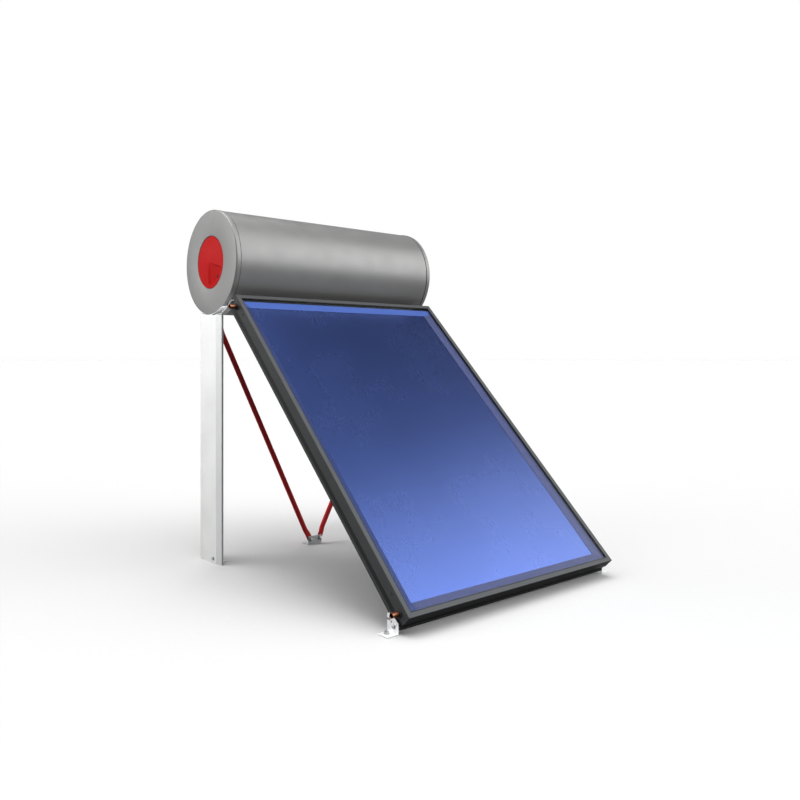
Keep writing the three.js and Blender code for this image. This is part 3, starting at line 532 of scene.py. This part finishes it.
def bolt(across, head, washer_radius, washer_height, shank_radius, shank_length):
    """Head, washer and a threaded shank, from the washer's seat at x = 0."""
    pitch, root = 0.0015, shank_radius * 0.88
    count = int(shank_length / pitch)
    threads = []
    for i in range(count):
        x = -i * pitch
        threads += [(root, x), (shank_radius, x - pitch / 2)]
    profile = [(0, washer_height), (root, washer_height)] + threads + [(0, -count * pitch)]
    return merge(
        moved(hex_head(across, head), Matrix.Translation((washer_height, 0, 0))),
        washer(washer_radius, shank_radius * 0.9, washer_height),
        lathe(profile, 20),
    )


def aim(direction):
    """The turn that takes +X to a direction."""
    return Vector((1, 0, 0)).rotation_difference(Vector(direction)).to_matrix().to_4x4()


def at(position, direction=(1, 0, 0)):
    return Matrix.Translation(position) @ aim(direction)


# ---- camera ----------------------------------------------------------------------------------------
def add_camera():
    data = bpy.data.cameras.new("camera")
    data.lens = 35.87
    data.sensor_width = 36
    data.shift_y = -0.0515
    camera = bpy.data.objects.new("camera", data)
    camera.location = (-2.5226, -2.9885, 1.0009)
    camera.rotation_euler = (math.radians(90), 0, math.radians(-41.164))
    scene.collection.objects.link(camera)
    scene.camera = camera


# ---- light -----------------------------------------------------------------------------------------
# Soft lobes of light: azimuth from -Y towards +X and elevation, half angle, strength.
LOBES = [
    (15, 12, 40, 0.35), (45, 12, 48, 2.50), (90, 12, 48, 0.14),
    (221, 6, 32, 1.15), (221, 28, 30, 1.30), (250, 12, 40, 2.45), (270, 12, 48, 0.13),
    (42, 34, 34, 1.10), (0, 70, 32, 3.60), (180, 70, 32, 4.70), (270, 70, 32, 1.10),
]
LOBE_CORE = 5
AMBIENT = 0.01
FLOOR = 0.525
FLOOR_UNSEEN = 0.14


def heading(azimuth, elevation):
    a, e = math.radians(azimuth), math.radians(elevation)
    return Vector((math.sin(a) * math.cos(e), -math.cos(a) * math.cos(e), math.sin(e)))


def add_world():
    """Pale studio of a few broad soft lights, plain white to the eye."""
    world = bpy.data.worlds.new("studio")
    scene.world = world
    world.use_nodes = True
    tree = world.node_tree
    tree.nodes.clear()

    def node(kind, **settings):
        made = tree.nodes.new(kind)
        for key, value in settings.items():
            setattr(made, key, value)
        return made

    direction = node("ShaderNodeTexCoord").outputs["Generated"]
    total = None
    for azimuth, elevation, half, strength in LOBES:
        along = node("ShaderNodeVectorMath", operation="DOT_PRODUCT")
        along.inputs[1].default_value = heading(azimuth, elevation)
        tree.links.new(direction, along.inputs[0])
        ramp = node("ShaderNodeMapRange", interpolation_type="SMOOTHSTEP")
        ramp.inputs["From Min"].default_value = math.cos(math.radians(half))
        ramp.inputs["From Max"].default_value = math.cos(math.radians(LOBE_CORE))
        ramp.inputs["To Max"].default_value = strength
        tree.links.new(along.outputs["Value"], ramp.inputs["Value"])
        both = node("ShaderNodeMath", operation="ADD")
        both.inputs[1].default_value = AMBIENT
        tree.links.new(ramp.outputs["Result"], both.inputs[0])
        if total is not None:
            tree.links.new(total, both.inputs[1])
        total = both.outputs["Value"]
    lit = node("ShaderNodeBackground")
    tree.links.new(total, lit.inputs["Strength"])
    lit.inputs["Color"].default_value = (1, 1, 1, 1)
    seen = node("ShaderNodeBackground")
    seen.inputs["Color"].default_value = (1, 1, 1, 1)
    mix = node("ShaderNodeMixShader")
    tree.links.new(node("ShaderNodeLightPath").outputs["Is Camera Ray"], mix.inputs["Fac"])
    tree.links.new(lit.outputs["Background"], mix.inputs[1])
    tree.links.new(seen.outputs["Background"], mix.inputs[2])
    tree.links.new(mix.outputs["Shader"], node("ShaderNodeOutputWorld").inputs["Surface"])


def add_floor():
    """A pale floor that sends little light back up, as in a large dark-walled studio."""
    n = Nodes("floor_pale")
    fleck = n.noise(n.coordinates(), 40, 4)
    tone = n.colours(fleck, [(0.3, (FLOOR * 0.99,) * 3), (0.7, (FLOOR * 1.01,) * 3)])
    pale = n.add("ShaderNodeBsdfDiffuse")
    n.link(tone, pale.inputs["Color"])
    dim = n.add("ShaderNodeBsdfDiffuse")
    dim.inputs["Color"].default_value = (FLOOR_UNSEEN, FLOOR_UNSEEN, FLOOR_UNSEEN, 1)
    mix = n.add("ShaderNodeMixShader")
    n.link(n.add("ShaderNodeLightPath").outputs["Is Camera Ray"], mix.inputs["Fac"])
    n.link(dim.outputs["BSDF"], mix.inputs[1])
    n.link(pale.outputs["BSDF"], mix.inputs[2])
    n.link(mix.outputs["Shader"], n.output.inputs["Surface"])
    reach = 600.0
    mesh = bpy.data.meshes.new("floor")
    corners = [(-reach, -reach, 0), (reach, -reach, 0), (reach, reach, 0), (-reach, reach, 0)]
    mesh.from_pydata(corners, [], [(0, 1, 2, 3)])
    mesh.materials.append(n.material)
    floor = bpy.data.objects.new("floor", mesh)
    scene.collection.objects.link(floor)


# ---- carried-over CAD nodes --------------------------------------------------------------------------
def dress_nodes():
    """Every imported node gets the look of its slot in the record, or its own, and some get soft edges."""
    own_looks = {"frame_bottom": "frame_bottom", "frame_top": "frame_top",
                 "rear_leg_left": "leg_zinc", "rear_leg_right": "leg_zinc", "brace_foot": "foot_zinc_painted_shade"}
    for part in frame["record"]["subparts"]:
        node = frame["nodes"][part["node"]]
        look = own_looks.get(part["node"], part["material_slot"])
        node.data.materials.clear()
        node.data.materials.append(LOOKS[look])
    for name in ("frame_left", "frame_right", "frame_top", "frame_bottom"):
        bevelled(frame["nodes"][name], 0.0006)
    for side in ("left", "right"):
        for name in ("rear_leg", "leg_foot", "saddle", "collector_clip", "front_foot"):
            bevelled(frame["nodes"][f"{name}_{side}"], 0.0005)
    bevelled(frame["nodes"]["brace_foot"], 0.0006)
    bevelled(frame["nodes"]["thermostat_body"], 0.0012, 3)
    bevelled(frame["nodes"]["glass_cover"], 0.0004, 1)


# ---- tank --------------------------------------------------------------------------------------------
SIDES = 160
TANK = Matrix.Translation((TANK_LEFT, TANK_AXIS.y, TANK_AXIS.z))
CAP_CORNER, CAP_SHEET = 7 * MM, 1.5 * MM
PORTS = ("cold_inlet", "hot_outlet", "circuit_return", "circuit_flow")


def carved(obj, *cutters):
    """Cuts closed (vertices, faces) tools out of a piece and keeps the result as its mesh."""
    mesh = bpy.data.meshes.new("cutter")
    vertices, faces = merge(*cutters)
    mesh.from_pydata([tuple(v) for v in vertices], [], faces)
    tool = bpy.data.objects.new("cutter", mesh)
    scene.collection.objects.link(tool)
    cut = obj.modifiers.new("cut", "BOOLEAN")
    cut.operation = "DIFFERENCE"
    cut.solver = "EXACT"
    cut.object = tool
    bpy.context.view_layer.update()
    result = bpy.data.meshes.new_from_object(obj.evaluated_get(bpy.context.evaluated_depsgraph_get()))
    obj.modifiers.clear()
    obj.data = result
    shade(result)
    bpy.data.objects.remove(tool)
    return obj


def cap_outline():
    """Outside and inside of a pressed cap's rounded corner, between the rim and the flat."""
    radius, corner, sheet = TANK_RADIUS, CAP_CORNER, CAP_SHEET
    outside = [(radius - 0.4 * MM, RIM_WIDTH), (radius, RIM_WIDTH - 0.4 * MM)]
    outside += arc((radius - corner, corner), corner, 0, -90, 10)
    inside = arc((radius - corner, corner), corner - sheet, -90, 0, 6)
    inside += [(radius - sheet, RIM_WIDTH)]
    return outside, inside


def rivet(position, direction, radius=3.0 * MM, height=1.3 * MM):
    """A domed blind rivet with its small hollow stem."""
    dome = [(radius, 0), (radius, height * 0.25), (radius * 0.8, height * 0.7), (radius * 0.5, height)]
    stem = [(radius * 0.36, height), (radius * 0.3, height * 0.5), (0, height * 0.5)]
    profile = [(0, 0)] + dome + stem
    return moved(lathe(profile, 16), at(position, direction))


def add_caps():
    """The left cap with its round pocket, and the right cap with a hole for each socket."""
    cover_low, cover_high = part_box("service_cover")
    well = (cover_high.z - cover_low.z) / 2 + 0.6 * MM
    seat, floor, sheet = 119 * MM, 4.3 * MM, CAP_SHEET
    outside, inside = cap_outline()
    lip = arc((well + 3 * MM, 3 * MM), 3 * MM, -90, -180, 6)
    pocket = [(well, floor), (seat, floor), (seat, floor + sheet), (well + sheet, floor + sheet),
              (well + sheet + 1 * MM, 3.6 * MM)]
    left = outside + lip + pocket + inside
    piece("cap_left", *lathe(left, SIDES), "tank_paint", replaces=["end_cap_left"], place=TANK, angle=40)

    right = outside + [(0, 0), (0, sheet)] + inside
    place = Matrix.Translation((TANK_RIGHT, TANK_AXIS.y, TANK_AXIS.z)) @ Matrix.Rotation(math.pi, 4, "Z")
    cap = piece("cap_right", *lathe(right, SIDES), "tank_paint", replaces=["end_cap_right"], place=place,
                angle=40)
    tools = []
    for port in PORTS:
        middle = centre_of(port)
        tools.append(moved(rod(17.4 * MM, -0.02, 0.02, 32), at((TANK_RIGHT, middle.y, middle.z))))
    carved(cap, *tools)


def add_jacket():
    """The jacket's skin with its folded seam, black rubber rings under the caps' rims that paint in the
    shadow line at each seam, and the rims' rivets.
    """
    low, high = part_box("tank_jacket")
    radius = (high.z - low.z) / 2
    start, end = low.x - TANK_LEFT, high.x - TANK_LEFT
    steps = 12
    outer = [(radius, start + (end - start) * i / steps) for i in range(steps + 1)]
    skin = outer + [(radius - 1.3 * MM, end), (radius - 1.3 * MM, start)]
    piece("jacket_skin", *lathe(skin, SIDES), "tank_paint", replaces=["tank_jacket"], place=TANK)

    # Painted shade: these black rubber rings put a dark line at each cap's rim, where the step casts only a
    # thin shadow.
    shade_line_rings = []
    for x in (RIM_WIDTH - 0.2 * MM, TANK_LENGTH - RIM_WIDTH - 3 * MM):
        bead = [(radius - 0.5 * MM, x), (radius + 0.5 * MM, x), (radius + 0.9 * MM, x + 1.6 * MM),
                (radius + 0.5 * MM, x + 3.2 * MM), (radius - 0.5 * MM, x + 3.2 * MM)]
        shade_line_rings.append(moved(lathe(bead, SIDES), TANK))
    piece("cap_shade_line_rings", *merge(*shade_line_rings), "rubber")

    # The folded seam and the first rivet sit at the same turn, low on the tank's +Y side.
    seam_degrees = -38
    rings = []
    for x in (RIM_WIDTH + 0.5 * MM, TANK_LENGTH - RIM_WIDTH - 0.5 * MM):
        ring = []
        for across, lift in ((-8, -0.4), (-7, 0.9), (-6, 1.3), (6, 1.3), (7, 0.9), (8, -0.4)):
            turn = math.radians(seam_degrees) + across * MM / radius
            reach = radius + lift * MM
            ring.append(TANK @ Vector((x, reach * math.cos(turn), reach * math.sin(turn))))
        rings.append(ring)
    piece("jacket_seam", *loft(rings), "tank_paint")
    rivets = []
    for x in (14 * MM, TANK_LENGTH - 14 * MM):
        for degrees in range(seam_degrees, seam_degrees + 360, 60):
            turn = math.radians(degrees)
            out = Vector((0, math.cos(turn), math.sin(turn)))
            seat = TANK @ (Vector((x, 0, 0)) + out * (TANK_RADIUS - 0.9 * MM))
            rivets.append(rivet(seat, out, 2.6 * MM, 1.0 * MM))
    piece("cap_rivets", *merge(*rivets), "plain_steel")


def add_ports():
    """Brass sockets with a thread, each through a rubber rosette in the right cap."""
    for port in PORTS:
        low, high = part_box(port)
        middle = (low + high) / 2
        outer, bore, length = (high.z - low.z) / 2, 12 * MM, high.x - low.x
        thread_start = length - 15 * MM
        profile = [(bore, 0), (bore, length - 1 * MM), (bore + 1 * MM, length), (outer - 2.2 * MM, length)]
        for i in range(7):
            x = length - 0.8 * MM - i * 2 * MM
            profile += [(outer - 2.0 * MM, x), (outer - 0.7 * MM, x - 1 * MM)]
        profile += [(outer - 2 * MM, thread_start), (outer, thread_start - 0.8 * MM), (outer, 0)]
        body = moved(lathe(profile, 36), at((low.x, middle.y, middle.z)))
        piece(f"{port}_socket", *body, "brass", replaces=[port])
        rosette = [(outer + 0.2 * MM, -0.5 * MM), (outer + 0.2 * MM, 4.5 * MM), (outer + 2 * MM, 5 * MM),
                   (outer + 7 * MM, 3.2 * MM), (outer + 11 * MM, 1 * MM), (outer + 11.5 * MM, -0.5 * MM)]
        piece(f"{port}_rosette", *moved(lathe(rosette, 48), at((TANK_RIGHT, middle.y, middle.z))), "rubber")


def add_cover():
    """The cover: a shallow cone with a rolled edge, a recessed scoop and the blanked cable gland."""
    low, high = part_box("service_cover")
    radius = (high.z - low.z) / 2
    crown, rim, round_edge, wall = 8 * MM, 1.2 * MM, 3 * MM, 2.5 * MM
    seat, depth, reach, scoop = 118.7 * MM, 4 * MM, 112 * MM, 8 * MM
    middle = rim - crown
    slope = crown / (radius - round_edge)
    steps = [0.004 + (reach - 0.0055) * i / 22 for i in range(23)] + [reach - 0.6 * MM, reach + 0.6 * MM]
    front = [(0, middle)] + [(r, middle + slope * r) for r in steps]
    edge = arc((radius - round_edge, rim + round_edge), round_edge, -94, 0, 8)
    back = [(r, middle + wall + slope * r) for r in reversed(steps)] + [(0, middle + wall)]
    spigot = [(radius, depth), (seat, depth), (seat, depth + 6 * MM), (seat - wall, depth + 6 * MM),
              (seat - wall, rim + wall)]
    vertices, faces = lathe(front + edge + spigot + back, 240)

    # The scoop is a wedge that deepens outwards between a steep flank and a soft one, in degrees.
    steep_start, steep_width, soft_end, soft_width = 195, 4, 284, 19
    sunk = []
    for x, y, z in vertices:
        r = math.hypot(y, z)
        degrees = math.degrees(math.atan2(z, y)) % 360
        if 0 < r < reach:
            floor = scoop * r / reach
            steep = min(1, max(0, (degrees - steep_start) / steep_width))
            soft = min(1, max(0, (soft_end - degrees) / soft_width))
            share = steep * soft
            x += max(0, floor - 0.3 * MM) * share * share * (3 - 2 * share)
        sunk.append((x, y, z))
    piece("cover_dish", sunk, faces, "red_plastic", body="cover", replaces=["service_cover"],
          place=TANK, angle=24)

    gland_low, gland_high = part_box("cable_gland")
    middle = (gland_low + gland_high) / 2
    outward = Matrix.Rotation(math.pi, 4, "Z")
    collar = moved(hex_head(13.8 * MM, 3.2 * MM), outward)
    proud = 4.7 * MM
    plug = [(0, 0), (5.4 * MM, 0), (5.4 * MM, 3.4 * MM), (4.8 * MM, 4.2 * MM), (3 * MM, proud), (0, proud)]
    seat_x = gland_low.x + proud
    shank = rod(5 * MM, -0.2 * MM, gland_high.x - seat_x, 28)
    place = Matrix.Translation((seat_x, middle.y, middle.z))
    piece("gland_body", *merge(collar, moved(lathe(plug, 32), outward), shank), "black_plastic", body="cover",
          replaces=["cable_gland"], look="rubber", place=place)


def add_knob():
    """A fluted thermostat knob with a raised pointer."""
    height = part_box("thermostat_body")[0].z + 36 * MM
    rings, count = [], 96
    for x, reach, flute in ((13, 8, 0), (13, 14.2, 0), (13.6, 15.2, 0.3),
                            (15, 16.4, 0.7), (24.8, 17.4, 0.8), (25.6, 16.8, 0.3)):
        ring = []
        for i in range(count):
            turn = TAU * i / count
            r = (reach - flute * (0.5 + 0.5 * math.cos(turn * 24))) * MM
            ring.append((x * MM, r * math.cos(turn), r * math.sin(turn)))
        rings.append(ring)
    dial = loft(rings)
    dial = (dial[0], [tuple(reversed(face)) for face in dial[1]])
    shaft = rod(5.5 * MM, 24 * MM, 35 * MM, 24)
    outlines = []
    for x, heel, tip, start, end in ((10.6, 1.0, 0.6, -2, 15), (13.2, 1.6, 1.2, -3, 16)):
        corners = ((-heel, start), (heel, start), (tip, end), (-tip, end))
        outlines.append([(x * MM, y * MM, z * MM) for y, z in corners])
    pointer = loft(outlines)
    place = Matrix.Translation((TANK_LEFT, TANK_AXIS.y, height))
    piece("knob_dial", *merge(dial, shaft), "white_plastic", body="knob", replaces=["thermostat_knob"],
          place=place)
    piece("knob_pointer", *pointer, "black_plastic", body="knob", place=place)


# ---- collector ------------------------------------------------------------------------------------------
def on_collector(across, along, depth):
    """A point from millimetres across, up the slope and into the collector."""
    return COLLECTOR @ Vector((across * MM, along * MM, -depth * MM))


def add_headers():
    """Copper stubs with a rounded mouth, each in a rubber grommet."""
    for name in ("bottom", "top"):
        low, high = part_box(f"header_{name}")
        middle = (low + high) / 2
        radius, wall, length = (high.z - low.z) / 2, 1.2 * MM, high.x - low.x
        profile = [(0, length), (radius, length), (radius, 1 * MM)]
        profile += arc((radius - 0.6 * MM, 0.6 * MM), 0.6 * MM, 0, -180, 6)
        profile += [(radius - wall, 1.2 * MM), (radius - wall, length - wall), (0, length - wall)]
        piece(f"header_{name}_tube", *moved(lathe(profile, 40), at((low.x, middle.y, middle.z))), "copper",
              replaces=[f"header_{name}"])
        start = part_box(f"grommet_{name}")[0].x
        hole, swell = radius + 0.3 * MM, 2.4 * MM
        bead = [(hole, 0.4 * MM), (hole + 0.4 * MM, 0)] + arc((hole + 3.4 * MM, swell), swell, -80, 70, 8)
        neck = hole + 2 * MM
        bead += [(hole + 6 * MM, 4.2 * MM), (neck, 4.2 * MM), (neck, 8 * MM), (hole, 8 * MM)]
        piece(f"grommet_{name}_ring", *moved(lathe(bead, 40), at((start, middle.y, middle.z))), "rubber",
              replaces=[f"grommet_{name}"])


def add_collector_details():
    """Rubber vents in the frame's sides and the blind rivets round the back sheet."""
    width, length, depth = COLLECTOR_WIDTH / MM, COLLECTOR_LENGTH / MM, COLLECTOR_DEPTH / MM
    vents, rivets = [], []
    back = COLLECTOR.to_3x3() @ Vector((0, 0, -1))
    ring = [(2.2 * MM, -0.5 * MM), (2.2 * MM, 0.6 * MM), (3.2 * MM, 1.2 * MM), (5.4 * MM, 0.8 * MM),
            (6 * MM, -0.5 * MM)]
    for side, across in ((-1, 0), (1, width)):
        for along in (116, length - 116):
            place = at(on_collector(across, along, 24), (side, 0, 0))
            vents.append(moved(lathe(ring, 24), place))
            vents.append(moved(rod(2.3 * MM, -0.5 * MM, 0.1 * MM, 16), place))
    piece("frame_vents", *merge(*vents), "rubber")
    inset, margin = 14, 60
    for i in range(9):
        along = margin + (length - 2 * margin) * i / 8
        for across in (inset, width - inset):
            rivets.append(rivet(on_collector(across, along, depth), back, 2.4 * MM, 0.9 * MM))
    for i in range(7):
        across = margin + (width - 2 * margin) * i / 6
        for along in (inset, length - inset):
            rivets.append(rivet(on_collector(across, along, depth), back, 2.4 * MM, 0.9 * MM))
    piece("back_rivets", *merge(*rivets), "plain_steel")


# ---- stand ------------------------------------------------------------------------------------------------
# The braces, in millimetres: a round tube with both ends pressed flat.
BRACE_RADIUS = 13
TAB_WIDTH, TAB_THICK, TAB_LENGTH = 31, 5, 32
TAB_BLEND = 46


def flattened_tube(top, bottom, overrun):
    """A brace whose flat ends lie on its -Y side, from below its lower to above its upper bolt."""
    axis = (top - bottom).normalized()
    side = axis.cross(Vector((0, 1, 0))).normalized()
    total = (top - bottom).length + 2 * overrun
    start = bottom - axis * overrun
    stations = [0, 1.2, 3.5, 7, 12, TAB_LENGTH]
    stations += [TAB_LENGTH + TAB_BLEND * k / 6 for k in range(1, 7)]
    stations = [s * MM for s in stations]
    stations += [total - s for s in reversed(stations)]
    rings, count = [], 28
    for s in stations:
        near = min(s, total - s) / MM
        round_share = min(1.0, max(0.0, (near - TAB_LENGTH) / TAB_BLEND))
        round_share = round_share * round_share * (3 - 2 * round_share)
        corner = min(1.0, near / 12)
        tab_half = TAB_WIDTH / 2 * math.sqrt(max(0.0, 1 - (1 - corner) ** 2) * 0.72 + 0.28)
        half_width = tab_half + (BRACE_RADIUS - tab_half) * round_share
        half_thick = TAB_THICK / 2 + (BRACE_RADIUS - TAB_THICK / 2) * round_share
        centre_y = -(BRACE_RADIUS - half_thick)
        power = 4.5 - 2.5 * round_share
        ring = []
        for i in range(count):
            turn = TAU * i / count
            c, k = math.cos(turn), math.sin(turn)
            u = math.copysign(abs(c) ** (2 / power), c) * half_width
            v = math.copysign(abs(k) ** (2 / power), k) * half_thick
            ring.append(start + axis * s + side * (u * MM) + Vector((0, (centre_y + v) * MM, 0)))
        rings.append(ring)
    return loft(rings)


def add_braces():
    """The two red braces, each with a bolt and a nut at both ends."""
    foot_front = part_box("brace_foot")[0].y
    brace_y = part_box("brace_left")[1].y - BRACE_RADIUS * MM
    nut_y = brace_y - 8 * MM + 0.1 * MM
    for name, sign in (("left", -1), ("right", 1)):
        bolt_middle = centre_of(f"brace_bolt_{name}")
        bottom = Vector((bolt_middle.x, brace_y, bolt_middle.z))
        top = Vector((sign * 609 * MM, brace_y, 1186 * MM))
        tube = flattened_tube(top, bottom, 12 * MM)
        piece(f"brace_{name}_tube", *tube, "red_steel", replaces=[f"brace_{name}"], angle=50)
        seat_y = foot_front - 0.1 * MM
        piece(f"brace_{name}_lower_bolt",
              *merge(moved(bolt(15 * MM, 6 * MM, 10.5 * MM, 1.8 * MM, 4.6 * MM, 15 * MM),
                           at((bottom.x, seat_y, bottom.z), (0, -1, 0))),
                     moved(hex_nut(), at((bottom.x, nut_y, bottom.z), (0, 1, 0)))),
              "plain_steel", replaces=[f"brace_bolt_{name}"])
        ear_y = brace_y - BRACE_RADIUS * MM - 0.3 * MM - 4 * MM
        piece(f"brace_{name}_upper_bolt",
              *merge(moved(bolt(15 * MM, 6 * MM, 10.5 * MM, 1.8 * MM, 4.6 * MM, 16 * MM),
                           at((top.x, ear_y - 0.1 * MM, top.z), (0, -1, 0))),
                     moved(hex_nut(), at((top.x, nut_y, top.z), (0, 1, 0)))),
              "plain_steel")


def hex_nut():
    """A nut on its washer, along +X from the washer's seat."""
    thickness = 1.6 * MM
    nut = moved(hex_head(15 * MM, 6 * MM), Matrix.Translation((thickness, 0, 0)))
    return merge(washer(10.5 * MM, 4.2 * MM, thickness), nut)


def small_bolt(shank_length):
    return bolt(13 * MM, 5.2 * MM, 8.6 * MM, 1.5 * MM, 4 * MM, shank_length)


def add_feet_bolts():
    """The anchors through the front feet, the bolts into the frame and one bolt low on each leg."""
    for name, sign in (("left", -1), ("right", 1)):
        low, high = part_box(f"anchor_bolt_{name}")
        middle = (low + high) / 2
        foot_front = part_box(f"front_foot_{name}")[0].y
        anchor = bolt(17 * MM, 7 * MM, 11 * MM, 2 * MM, 4.9 * MM, 3.5 * MM)
        piece(f"anchor_{name}", *moved(anchor, at((middle.x, middle.y, 4.2 * MM), (0, 0, 1))), "plain_steel",
              replaces=[f"anchor_bolt_{name}"])
        plate = COLLECTOR_WIDTH / 2 + 4.7 * MM
        for y, z in ((50, 53), (23, 26)):
            place = at((sign * plate, foot_front + y * MM, z * MM), (sign, 0, 0))
            piece(f"foot_{name}_bolt_{z}", *moved(small_bolt(12 * MM), place), "plain_steel")
        leg_low, leg_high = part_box(f"rear_leg_{name}")
        leg_face = leg_low.x if sign < 0 else leg_high.x
        leg_foot_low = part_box(f"leg_foot_{name}")[0]
        place = at((leg_face, leg_foot_low.y + 22 * MM, 24 * MM), (sign, 0, 0))
        piece(f"leg_{name}_bolt", *moved(small_bolt(10 * MM), place), "plain_steel")


def add_tank():
    add_caps()
    add_jacket()
    add_ports()
    add_cover()
    add_knob()


def build():
    add_camera()
    add_world()
    add_floor()
    dress_nodes()
    add_tank()
    add_headers()
    add_collector_details()
    add_braces()
    add_feet_bolts()


build()
